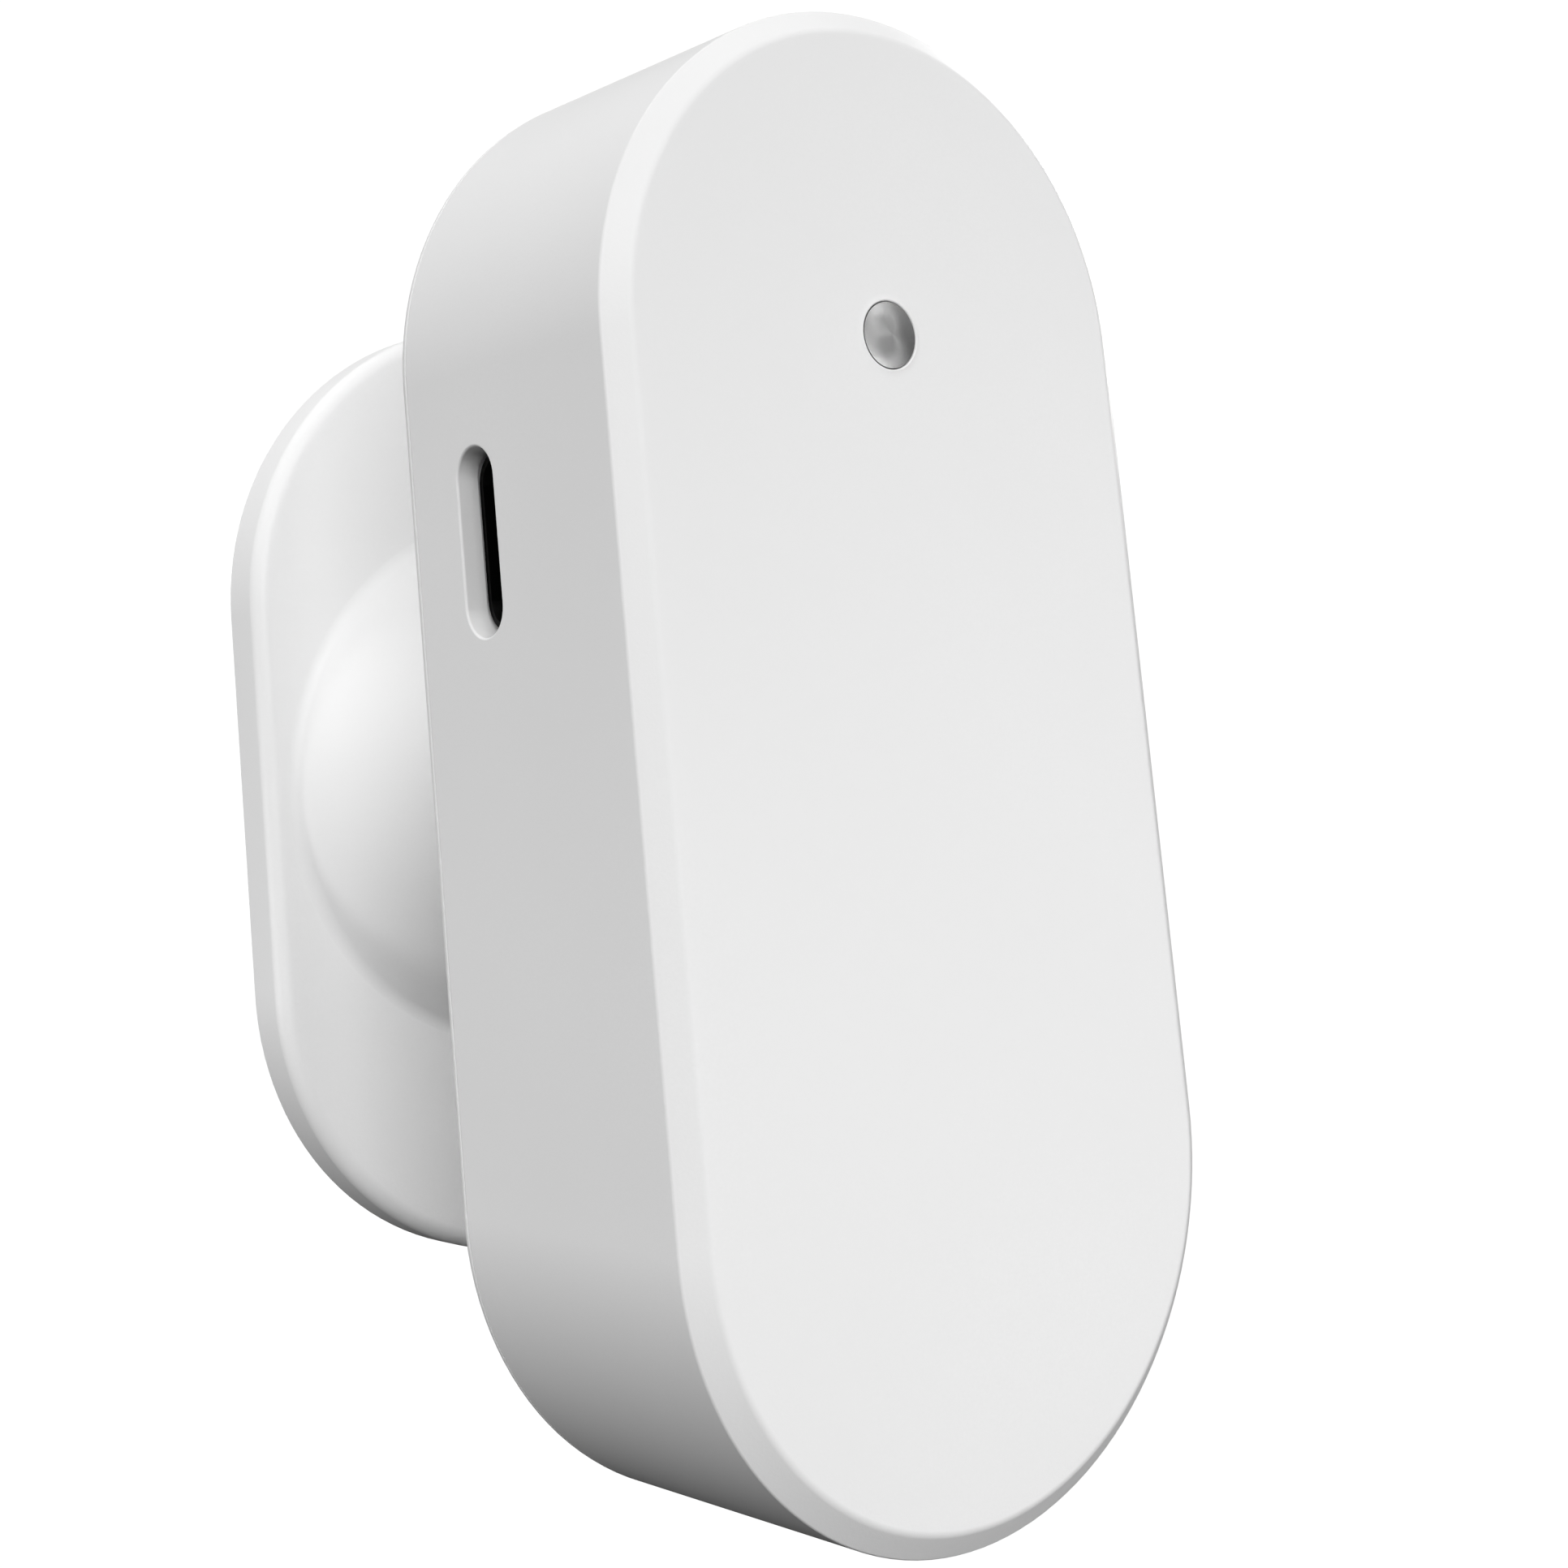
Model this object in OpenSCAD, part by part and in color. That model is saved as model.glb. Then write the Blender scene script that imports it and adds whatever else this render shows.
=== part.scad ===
// Door contact sensor: a pill-shaped head with its electronics, on a ball joint on a pill-shaped foot.
// Millimetres. The origin is the centre of the wall face, +Z is up, +Y points into the wall, and the head
// looks along -Y. Every module is drawn lying on the wall, with X across, Y up the wall and Z the height
// off it; on_wall() then stands it up.

/* [Head] */
// Width of the head
head_w = 34; // [33.6:0.2:36]
// Height of the head, end to end
head_h = 75.2; // [75:0.2:80]
// Depth of the head, front face to back face
head_d = 18.9; // [18.6:0.1:20]
// Wall thickness of the front shell
wall_t = 2; // [1.8:0.1:2]
// Width of the sloping edge round the front face
bevel_w = 1.2; // [0.4:0.1:1.8]
// Depth of the sloping edge round the front face
bevel_d = 0.93; // [0.4:0.01:1.6]
// Thickness of the rear cover
cover_t = 2; // [2:0.1:2.2]
// Thickness of the rear cover's rim, which shows behind the shell's side wall
rim_t = 0.6; // [0.5:0.1:0.8]

/* [Openings] */
// Radius of the indicator hole in the front face
lens_r = 1.75; // [1.5:0.05:1.9]
// Radius of the rounding round the indicator hole
lens_rim = 0.1; // [0.05:0.05:0.3]
// How far the lens's dome stands proud of the front face
lens_proud = 0.2; // [0.05:0.05:0.3]
// Length of the charging slot, along the side wall
slot_l = 9.4; // [9.2:0.1:9.8]
// Width of the charging slot
slot_w = 3.2; // [3:0.1:3.4]
// Height of the charging slot's centre above the head's centre
slot_z = 12.1; // [11.8:0.1:12.4]
// Distance of the charging slot's centre behind the front face
slot_depth = 12.5; // [12.4:0.1:12.6]
// Thickness the side wall is pocketed to behind the charging slot
slot_wall = 1.2; // [1:0.1:1.5]

/* [Wall foot] */
// Width of the foot
foot_w = 34; // [33:0.5:38]
// Height of the foot, end to end
foot_h = 55.3; // [55:0.1:60]
// Thickness of the foot's plate
foot_t = 3.3; // [3:0.1:4]
// Rounding of the plate's front edge
foot_round = 0.9; // [0.4:0.1:1.2]
// Radius of the cone where it meets the plate
cone_r = 15.4; // [15:0.1:15.8]
// Clear distance between the plate's front face and the head's back face
head_gap = 17.3; // [17.3:0.1:19]
// Thickness of the adhesive pad
pad_t = 0.8; // [0.6:0.1:1]
// Distance between the two wall screws
screw_gap = 44; // [43.6:0.2:44.4]
// Radius of the wall screws' holes
wall_hole_r = 1.9; // [1.6:0.1:2.1]

/* [Ball joint] */
// Radius of the ball
ball_r = 4.5; // [4.4:0.05:4.5]
// Radius of the stud's neck
neck_r = 2.4; // [2:0.1:2.4]
// Distance of the ball's centre inside the head's back face
ball_inset = 2.6; // [2.6:0.1:2.7]
// Thickness of the slit liner between ball and socket
liner_t = 1.2; // [1.1:0.05:1.2]
// Half angle of the liner's mouth, from the neck
mouth_angle = 60; // [59:0.5:61]
// Wall thickness of the socket cup
cup_t = 1.7; // [1.6:0.05:1.7]

/* [Electronics] */
// Width of the battery cell
cell_w = 20; // [18:0.5:20]
// Length of the battery cell
cell_l = 38; // [34:0.5:38]
// Thickness of the battery cell
cell_t = 5.5; // [4.5:0.1:5.5]
// Thickness of the circuit board
board_t = 1; // [0.8:0.1:1]
// Length of the reed switch's glass
reed_l = 14; // [12:0.5:14]
// Travel of the pairing button
button_travel = 0.5; // [0.3:0.1:0.5]

/* [Hidden] */
$fn = 64;
slack = 0.05;
eps = 0.02;
past = 1;

// Heights off the wall
pad_recess = 0.5;
foot_back = pad_t - pad_recess;
foot_front = foot_back + foot_t;
head_back = foot_front + head_gap;
head_front = head_back + head_d;
shell_back = head_back + rim_t + slack;
cover_inner = head_back + cover_t;
front_inner = head_front - wall_t;
ball_z = head_back + ball_inset;
slot_height = head_front - slot_depth;

// Plan sizes
head_r = head_w / 2;
head_span = head_h - head_w;
inner_r = head_r - wall_t;
end_y = head_span / 2;
foot_r = foot_w / 2;
foot_span = foot_h - foot_w;
lens_y = end_y;
lens_collar_l = 2.3;

// Foot: a 45 degree hollow cone that carries the stud
cone_top_r = 4.4;
cone_h = cone_r - cone_top_r;
cone_top = foot_front + cone_h;
cone_wall = 3.1;
cone_fillet = 1.2;
roof_t = 3.9;
roof = cone_top - roof_t;
pad_inset = 2;
sink_r = 3.4;

// Stud
spindle_r = 2.5;
collar_r = 3.9;
collar_t = 1.2;
spindle_end = roof - slack;
washer_r = 4.5;
washer_t = 0.8;
stud_pilot_r = 1.25;
stud_screw_head_r = 2.4;
stud_screw_head_t = 1.5;
stud_screw_l = 6;

// Socket
liner_in = ball_r + slack;
liner_out = liner_in + liner_t;
cup_in = liner_out + slack;
cup_out = cup_in + cup_t;
slit_w = 0.8;
slit_count = 4;
ear_r = 2.2;
ear_t = 1.6;
ear_ring = 8.8;
ear_count = 3;
socket_pilot_r = 0.7;
ring_r = 0.6;
ring_angle = 60;
ring_ball = liner_out + 0.02 + ring_r;

// Shell bosses and screws
boss_r = 2.45;
boss_x = inner_r - 2.4;
pilot_r = 0.85;
cover_pilot_d = 8;
cover_hole_r = 1.1;
cover_sink_r = 1.9;
cover_sink_d = 1.2;
cover_screw_l = 7;
board_boss_r = 2;
board_pilot_d = 5;
board_screw_l = 5;
board_boss_x = 8.5;
board_boss_y = end_y + 7.9;
board_boss_low_y = -end_y - 12.2;

// Charging port
port_l = 8.94;
port_h = 3.26;
port_d = 7.3;
port_floor = 0.8;
port_wall = 0.3;
port_mouth = -head_r + slot_wall + 0.1;
port_pocket = 0.6;
tongue_w = 6.7;
tongue_t = 0.7;

// Circuit board, with the port hanging from its wall side
board_rear = slot_height + port_h / 2;
board_front = board_rear + board_t;
board_gap = 0.4;
board_cut_r = 6.5;

// Radio at the top end of the board, with its metal can and the printed antenna past the can's edge
radio_w = 12;
radio_l = 10;
radio_t = 0.8;
radio_y = end_y + 8.1;
can_w = 10.4;
can_l = 5.6;
can_t = 1.5;
can_wall = 0.2;
can_y = radio_y - radio_l / 2 + can_l / 2 + 0.4;

// Reed switch
reed_x = inner_r - 2.4;
reed_r = 1.1;
reed_bore = 0.8;
reed_seal = 2.2;
reed_wire_r = 0.3;
reed_z = board_front + reed_r + 0.2;
reed_foot = 2;

// Battery, glued to the inside of the front face
cell_pad_t = 0.8;
cell_front = front_inner - cell_pad_t;
cell_low_y = board_boss_low_y + 2.8;
cell_round = 1.6;
wire_r = 0.5;
wire_pitch = 2;
wire_x = 6;
wire_bend = 1.2;
plug_w = 5.6;
plug_l = 4;
plug_t = 3;
plug_y = end_y - 2 - plug_l;
plug_in = 2;

// Pairing button and its switch
button_y = -26;
button_r = 2.9;
flange_r = 3.7;
flange_t = 0.7;
switch_w = 4.5;
switch_t = 2.5;
plunger_r = 1.1;
plunger_out = 0.9;
plunger_in = 0.6;

// ---------- helpers ----------

// Stands a shape that lies on the wall upright: up the wall becomes +Z, off the wall becomes -Y
module on_wall() {
    rotate([90, 0, 0]) children();
}

// Points the drawing plane along X: its X runs up the wall and its Y off the wall
module facing_side(x, y, z) {
    translate([x, y, z]) rotate([90, 0, 90]) children();
}

// Flat pill outline, long up the wall
module pill(w, h) {
    for (side = [-1, 1]) {
        translate([0, side * (h - w) / 2]) circle(d = w);
    }
    square([w, h - w], center = true);
}

// A straight-sided pill between two heights
module pill_plate(w, h, low, high) {
    translate([0, 0, low]) linear_extrude(high - low) pill(w, h);
}

// Carries a half profile (X outwards from the spine, Y the height) round a pill's end centres, span apart
module pill_sweep(span) {
    for (turn = [0, 180]) {
        rotate(turn) translate([0, span / 2, 0]) rotate_extrude(angle = 180) children();
    }
    rotate([90, 0, 0]) linear_extrude(span, center = true) {
        children();
        mirror([1, 0]) children();
    }
}

// Half profile of a plate whose outer corner is rounded, at its top or at its bottom
module soft_edge(r, low, high, round_r, at_top) {
    corner = at_top ? high - round_r : low + round_r;
    translate([0, low]) square([r - round_r, high - low]);
    translate([0, at_top ? low : corner]) square([r, high - low - round_r]);
    intersection() {
        translate([r - round_r, corner]) circle(round_r);
        translate([0, low]) square([r + past, high - low]);
    }
}

// A cylinder between two heights at a point in plan
module post(x, y, r, low, high) {
    translate([x, y, low]) cylinder(r = r, h = high - low);
}

// A block centred in plan between two heights
module block(x, y, w, l, low, high) {
    translate([x - w / 2, y - l / 2, low]) cube([w, l, high - low]);
}

// Cutter that rounds the mouth of a hole: radius r below, r + round_r at the surface height
module mouth_rounding(r, round_r, surface) {
    translate([0, 0, surface - round_r]) rotate_extrude() difference() {
        square([r + round_r, round_r + past]);
        translate([r + round_r, 0]) circle(round_r);
        translate([r + round_r, -past]) square([past, 2 * past + round_r]);
    }
}

// A pan-head screw that points off the wall, with a cross recess; its head stands below height seat
module screw(x, y, seat, head_radius, head_t, shank_r, shank_l) {
    recess = head_radius * 0.28;
    translate([x, y, seat]) difference() {
        union() {
            translate([0, 0, -head_t]) cylinder(r = head_radius, h = head_t);
            translate([0, 0, -eps]) cylinder(r = shank_r, h = shank_l + eps);
        }
        for (turn = [0, 90]) {
            rotate(turn) translate([-head_radius * 0.62, -recess / 2, -head_t - eps])
                cube([head_radius * 1.24, recess, head_t * 0.55]);
        }
    }
}

// The same screw the other way up, pointing towards the wall
module screw_down(x, y, seat, head_radius, head_t, shank_r, shank_l) {
    translate([x, y, seat]) rotate([180, 0, 0]) screw(0, 0, 0, head_radius, head_t, shank_r, shank_l);
}

// Places its children at each of the four cover bosses
module at_cover_bosses() {
    for (side = [-1, 1]) {
        for (end = [-1, 1]) {
            translate([side * boss_x, end * end_y, 0]) children();
        }
    }
}

// Places its children at each of the three board bosses
module at_board_bosses() {
    for (spot = [[board_boss_x, board_boss_y], [-board_boss_x, board_boss_y], [0, board_boss_low_y]]) {
        translate([spot[0], spot[1], 0]) children();
    }
}

// Places its children at each ear of the socket cup
module at_ears() {
    for (i = [0 : ear_count - 1]) {
        rotate(90 + i * 360 / ear_count) translate([ear_ring, 0, 0]) children();
    }
}

// ---------- wall foot ----------

// Half profile of the foot's cone, with a fillet where it meets the plate
module cone_profile() {
    reach = cone_fillet * tan(22.5);
    polygon([[0, foot_back + past], [cone_r, foot_front], [cone_top_r, cone_top], [0, cone_top]]);
    difference() {
        polygon([
            [cone_r + reach, foot_front], [cone_r - reach * sin(45), foot_front + reach * sin(45)],
            [cone_r - reach, foot_front - reach / 2]
        ]);
        translate([cone_r + reach, foot_front + cone_fillet]) circle(cone_fillet);
    }
}

module mount_foot() {
    recess_w = foot_w - 2 * pad_inset;
    recess_h = foot_h - 2 * pad_inset;
    hollow_r = cone_r - cone_wall;
    roof_r = cone_top_r + roof_t - cone_wall;
    color("white") on_wall() difference() {
        union() {
            pill_sweep(foot_span) soft_edge(foot_r, foot_back, foot_front, foot_round, true);
            rotate_extrude() cone_profile();
        }
        pill_plate(recess_w, recess_h, foot_back - past, foot_back + pad_recess);
        post(0, 0, hollow_r, foot_back, foot_front);
        translate([0, 0, foot_front - eps])
            cylinder(r1 = hollow_r, r2 = roof_r, h = roof - foot_front + eps);
        post(0, 0, spindle_r + slack, foot_front, cone_top + past);
        for (side = [-1, 1]) {
            post(0, side * screw_gap / 2, wall_hole_r, foot_back - past, foot_front + past);
            translate([0, side * screw_gap / 2, foot_front - (sink_r - wall_hole_r)])
                cylinder(r1 = wall_hole_r, r2 = sink_r + eps, h = sink_r - wall_hole_r + eps);
        }
    }
}

module adhesive_pad() {
    pad_w = foot_w - 2 * pad_inset - 0.2;
    pad_h = foot_h - 2 * pad_inset - 0.2;
    color("gainsboro") on_wall() difference() {
        pill_plate(pad_w, pad_h, 0, pad_t);
        for (side = [-1, 1]) {
            post(0, side * screw_gap / 2, wall_hole_r + 0.7, -past, foot_front);
        }
    }
}

// ---------- swivel stud ----------

module ball_stud() {
    collar_low = cone_top + slack;
    taper = collar_r - neck_r;
    color("whitesmoke") on_wall() difference() {
        union() {
            translate([0, 0, ball_z]) sphere(ball_r);
            post(0, 0, neck_r, collar_low, ball_z);
            post(0, 0, collar_r, collar_low, collar_low + collar_t);
            translate([0, 0, collar_low + collar_t]) cylinder(r1 = collar_r, r2 = neck_r, h = taper);
            post(0, 0, spindle_r, spindle_end, collar_low + eps);
        }
        post(0, 0, stud_pilot_r, spindle_end - past, spindle_end + stud_screw_l);
    }
}

module stud_washer() {
    color("silver") on_wall() difference() {
        post(0, 0, washer_r, spindle_end - washer_t, spindle_end);
        post(0, 0, stud_pilot_r + 0.1, spindle_end - washer_t - past, spindle_end + past);
    }
}

module stud_screw() {
    color("silver") on_wall() screw(
        0, 0, spindle_end - washer_t, stud_screw_head_r, stud_screw_head_t, stud_pilot_r, stud_screw_l
    );
}

module socket_liner() {
    mouth_h = 2 * liner_out;
    color("dimgray") on_wall() translate([0, 0, ball_z]) difference() {
        sphere(liner_out);
        sphere(liner_in);
        translate([0, 0, -mouth_h]) cylinder(r1 = mouth_h * tan(mouth_angle), r2 = 0, h = mouth_h);
        for (i = [0 : slit_count / 2 - 1]) {
            rotate(45 + i * 360 / slit_count) translate([-mouth_h / 2, -slit_w / 2, -mouth_h])
                cube([mouth_h, slit_w, mouth_h + 1]);
        }
    }
}

// ---------- head: casing ----------

module shell_profile() {
    difference() {
        polygon([
            [0, shell_back], [head_r, shell_back], [head_r, head_front - bevel_d],
            [head_r - bevel_w, head_front], [0, head_front]
        ]);
        translate([-past, shell_back - past]) square([inner_r + past, front_inner - shell_back + past]);
    }
}

module front_shell() {
    rib_t = 0.8;
    rib_h = 3.8;
    rib_l = 20;
    color("white") on_wall() difference() {
        union() {
            pill_sweep(head_span) shell_profile();
            at_cover_bosses() post(0, 0, boss_r, cover_inner, front_inner + eps);
            at_board_bosses() post(0, 0, board_boss_r, board_front, front_inner + eps);
            post(0, lens_y, lens_r + 1, front_inner - lens_collar_l, front_inner + eps);
            for (side = [-1, 1]) {
                block(
                    side * (cell_w / 2 + 0.1 + rib_t / 2), cell_low_y + cell_l / 2, rib_t, rib_l,
                    front_inner - rib_h, front_inner + eps
                );
            }
        }
        at_cover_bosses() post(0, 0, pilot_r, cover_inner - past, cover_inner + cover_pilot_d);
        at_board_bosses() post(0, 0, pilot_r, board_front - past, board_front + board_pilot_d);
        post(0, lens_y, lens_r, front_inner - lens_collar_l - past, head_front + past);
        translate([0, lens_y, 0]) mouth_rounding(lens_r, lens_rim, head_front);
        facing_side(-head_r - past, slot_z, slot_height)
            linear_extrude(wall_t + 2 * past) rotate(90) pill(slot_w, slot_l);
        facing_side(-head_r + slot_wall, slot_z, slot_height)
            linear_extrude(wall_t) rotate(90) pill(port_h + port_pocket, port_l + port_pocket);
    }
}

// Half profile of the rear cover: the rim that shows, the plug inside the shell and its locating lip
module cover_profile() {
    plug_r = inner_r - 0.1;
    lip_t = 1.3;
    lip_h = 1.4;
    soft_edge(head_r, head_back, head_back + rim_t, rim_t - 0.1, false);
    translate([0, head_back]) square([plug_r, cover_t]);
    translate([plug_r - lip_t, head_back]) square([lip_t, cover_t + lip_h]);
}

// Half profile of the thick ring round the socket, hollowed to the ball's outer seat
module seat_profile() {
    difference() {
        translate([0, head_back]) square([ear_ring + ear_r, ball_inset]);
        translate([0, ball_z]) circle(cup_in);
    }
}

module rear_cover() {
    pilot_floor = 0.6;
    color("white") on_wall() difference() {
        union() {
            difference() {
                pill_sweep(head_span) cover_profile();
                post(0, 0, cup_out, head_back - past, ball_z);
            }
            rotate_extrude() seat_profile();
        }
        at_ears() post(0, 0, socket_pilot_r, head_back + pilot_floor, ball_z + past);
        at_cover_bosses() {
            post(0, 0, cover_hole_r, head_back - past, cover_inner + past);
            post(0, 0, cover_sink_r, head_back - past, head_back + cover_sink_d);
            post(0, 0, boss_r + 0.2, cover_inner, cover_inner + cover_t);
        }
        post(0, button_y, button_r + slack, head_back - past, cover_inner + past);
    }
}

module cover_screws() {
    color("silver") on_wall() at_cover_bosses() screw(
        0, 0, head_back + cover_sink_d, cover_sink_r - 0.2, cover_sink_d - 0.1, pilot_r, cover_screw_l
    );
}

// Half profile of the cup's dome, with the friction ring's groove in its inner wall
module dome_profile() {
    difference() {
        intersection() {
            circle(cup_out);
            square(cup_out);
        }
        circle(cup_in);
        ring_section(ring_r + 0.02);
    }
}

module socket_cup() {
    web_l = ear_ring - (cup_in + cup_out) / 2;
    color("whitesmoke") on_wall() difference() {
        union() {
            translate([0, 0, ball_z]) rotate_extrude() dome_profile();
            at_ears() {
                post(0, 0, ear_r, ball_z, ball_z + ear_t);
                block(-web_l / 2, 0, web_l, 2 * ear_r, ball_z, ball_z + ear_t);
            }
        }
        at_ears() post(0, 0, socket_pilot_r + 0.1, ball_z - past, ball_z + ear_t + past);
    }
}

module socket_screws() {
    color("silver") on_wall() at_ears() screw_down(
        0, 0, ball_z + ear_t, 1.5, 1.1, socket_pilot_r, ear_t + 1.9
    );
}

// The friction ring's round section, just outside the liner and off its widest line
module ring_section(section_r) {
    translate([ring_ball * sin(ring_angle), ring_ball * cos(ring_angle)]) circle(section_r);
}

module friction_ring() {
    color("black") on_wall() translate([0, 0, ball_z]) rotate_extrude() ring_section(ring_r);
}

module indicator_lens() {
    rod_r = lens_r - slack;
    tip = head_front + lens_proud;
    dome_rise = lens_proud + slack;
    dome_r = (rod_r * rod_r + dome_rise * dome_rise) / (2 * dome_rise);
    dome_l = 0.6;
    stop = front_inner - lens_collar_l;
    stop_t = 0.8;
    color("lightgray") on_wall() {
        translate([0, lens_y, 0]) {
            post(0, 0, rod_r, board_front + 1, tip - dome_l);
            post(0, 0, lens_r + 0.8, stop - stop_t, stop);
            intersection() {
                post(0, 0, rod_r, tip - dome_l - eps, tip + past);
                translate([0, 0, tip - dome_r]) sphere(dome_r);
            }
        }
    }
}

// ---------- head: electronics ----------

module main_board() {
    board_w = 2 * (inner_r - board_gap);
    color("darkgreen") on_wall() difference() {
        pill_plate(board_w, board_w + head_span, board_rear, board_front);
        post(0, 0, board_cut_r, board_rear - past, board_front + past);
        at_cover_bosses() post(0, 0, boss_r + 0.3, board_rear - past, board_front + past);
        at_board_bosses() post(0, 0, pilot_r + 0.25, board_rear - past, board_front + past);
    }
}

module board_screws() {
    color("silver") on_wall() at_board_bosses() screw(0, 0, board_rear, 1.6, 1, pilot_r, board_screw_l);
}

module status_led() {
    led_w = 1.6;
    base_t = 0.5;
    dome_r = 0.6;
    dome_t = 0.3;
    base_top = board_front + base_t;
    color("ivory") on_wall() {
        block(0, lens_y, led_w, led_w, board_front, base_top);
        post(0, lens_y, dome_r, base_top - eps, base_top + dome_t);
    }
}

module usb_shell() {
    color("dimgray") on_wall() facing_side(port_mouth, slot_z, slot_height) difference() {
        linear_extrude(port_d) rotate(90) pill(port_h, port_l);
        translate([0, 0, -past]) linear_extrude(port_d - port_floor + past)
            rotate(90) pill(port_h - 2 * port_wall, port_l - 2 * port_wall);
    }
}

// The tongue in the middle of the port, on the plastic block that closes its inner end
module usb_tongue() {
    block_l = 1.6;
    tongue_in = 0.9;
    inner_end = port_d - port_floor;
    color("black") on_wall() facing_side(port_mouth, slot_z, slot_height) {
        translate([-tongue_w / 2, -tongue_t / 2, tongue_in])
            cube([tongue_w, tongue_t, inner_end - tongue_in]);
        translate([0, 0, inner_end - block_l]) linear_extrude(block_l)
            rotate(90) pill(port_h - 2 * port_wall, port_l - 2 * port_wall);
    }
}

module usb_contacts() {
    contact_w = 0.26;
    contact_t = 0.08;
    contact_l = 3.4;
    pitch = 0.5;
    count = 12;
    color("gold") on_wall() facing_side(port_mouth, slot_z, slot_height) {
        for (face = [0, 180]) {
            for (i = [0 : count - 1]) {
                rotate(face) translate([(i - (count - 1) / 2) * pitch - contact_w / 2, tongue_t / 2, 1.3])
                    cube([contact_w, contact_t, contact_l]);
            }
        }
    }
}

// The radio's own small board, with a row of half holes along each side for its solder joints
module radio_module() {
    pad_gap = 1.2;
    color("darkblue") on_wall() difference() {
        block(0, radio_y, radio_w, radio_l, board_front, board_front + radio_t);
        for (side = [-1, 1]) {
            for (i = [0 : 5]) {
                post(
                    side * radio_w / 2, radio_y - radio_l / 2 + 1 + i * pad_gap, 0.3,
                    board_front - past, board_front + radio_t + past
                );
            }
        }
    }
}

module radio_shield() {
    low = board_front + radio_t;
    color("silver") on_wall() difference() {
        block(0, can_y, can_w, can_l, low, low + can_t);
        block(0, can_y, can_w - 2 * can_wall, can_l - 2 * can_wall, low - past, low + can_t - can_wall);
    }
}

module antenna_trace() {
    low = board_front + radio_t;
    high = low + 0.08;
    trace_w = 0.45;
    turns = 6;
    pitch = 1.4;
    reach = 2.4;
    base_y = can_y + can_l / 2 + 0.6;
    start_x = -turns * pitch / 2;
    color("goldenrod") on_wall() for (i = [0 : turns]) {
        x = start_x + i * pitch;
        block(x, base_y + reach / 2, trace_w, reach, low, high);
        if (i < turns) {
            block(x + pitch / 2, base_y + (i % 2 == 0 ? reach : 0), pitch + trace_w, trace_w, low, high);
        }
    }
}

// Sealed glass tube of the reed switch, along the right edge of the board
module reed_glass() {
    straight = reed_l - 2 * reed_r;
    color("lightcyan") on_wall() translate([reed_x, 0, reed_z]) rotate([90, 0, 0]) difference() {
        union() {
            cylinder(r = reed_r, h = straight, center = true);
            for (side = [-1, 1]) {
                translate([0, 0, side * straight / 2]) sphere(reed_r);
            }
        }
        cylinder(r = reed_bore, h = reed_l - 2 * reed_seal, center = true);
        cylinder(r = reed_wire_r, h = reed_l + past, center = true);
    }
}

// The reed switch's two wires, each a flat blade inside the glass and bent down to the board outside it
module reed_blades() {
    blade_t = 0.2;
    blade_w = 0.9;
    blade_gap = 0.1;
    overlap_l = 1;
    blade_end = reed_l / 2 - reed_seal;
    wire_from = blade_end - 0.4;
    wire_to = reed_l / 2 + reed_foot;
    color("silver") on_wall() for (side = [0, 180]) {
        translate([reed_x, 0, reed_z]) rotate([0, side, 0]) rotate([0, 0, side]) {
            translate([0, wire_from, 0]) rotate([-90, 0, 0])
                cylinder(r = reed_wire_r, h = wire_to - wire_from);
            translate([-blade_w / 2, -overlap_l / 2, blade_gap / 2])
                cube([blade_w, blade_end + overlap_l / 2, blade_t]);
        }
        low = board_front;
        spot = side == 0 ? wire_to : -wire_to;
        post(reed_x, spot, reed_wire_r, low, reed_z);
        translate([reed_x, spot, reed_z]) sphere(reed_wire_r);
    }
}

// A pouch cell with rounded edges all round
module battery_cell() {
    half_w = cell_w / 2 - cell_round;
    low = cell_front - cell_t;
    color("lightsteelblue") on_wall() translate([0, cell_low_y, low]) {
        block(0, cell_l / 2, cell_w - 2 * cell_round, cell_l, 0, cell_t);
        block(0, cell_l / 2, cell_w, cell_l, cell_round, cell_t - cell_round);
        for (side = [-1, 1]) {
            for (level = [cell_round, cell_t - cell_round]) {
                translate([side * half_w, 0, level]) rotate([-90, 0, 0])
                    cylinder(r = cell_round, h = cell_l);
            }
        }
    }
}

module battery_pad() {
    color("dimgray") on_wall() block(
        0, cell_low_y + cell_l / 2, cell_w - 2 * cell_round, cell_l - 6, cell_front, front_inner
    );
}

// Two wires that leave the cell's top edge and step down to the plug in an S
module battery_lead() {
    wire_z = cell_front - cell_t / 2;
    plug_z = board_front + plug_t / 2;
    drop = wire_z - plug_z;
    start = cell_low_y + cell_l;
    bend_y = (start + plug_y) / 2 - wire_bend;
    color("firebrick") on_wall() for (i = [0, 1]) {
        translate([wire_x + i * wire_pitch, 0, 0]) {
            lead_run(start, bend_y, wire_z);
            lead_run(bend_y + 2 * wire_bend, plug_y + plug_in, plug_z);
            translate([0, bend_y, wire_z - wire_bend]) lead_bend(0);
            translate([0, bend_y + 2 * wire_bend, plug_z + wire_bend]) lead_bend(180);
            post(0, bend_y + wire_bend, wire_r, plug_z + wire_bend, plug_z + drop - wire_bend);
        }
    }
}

// A straight stretch of wire up the wall
module lead_run(from, to, level) {
    translate([0, from, level]) rotate([-90, 0, 0]) cylinder(r = wire_r, h = to - from);
}

// A quarter turn of wire
module lead_bend(turn) {
    rotate([0, 90, 0]) rotate(turn) rotate(90) rotate_extrude(angle = 90)
        translate([wire_bend, 0]) circle(wire_r);
}

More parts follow.
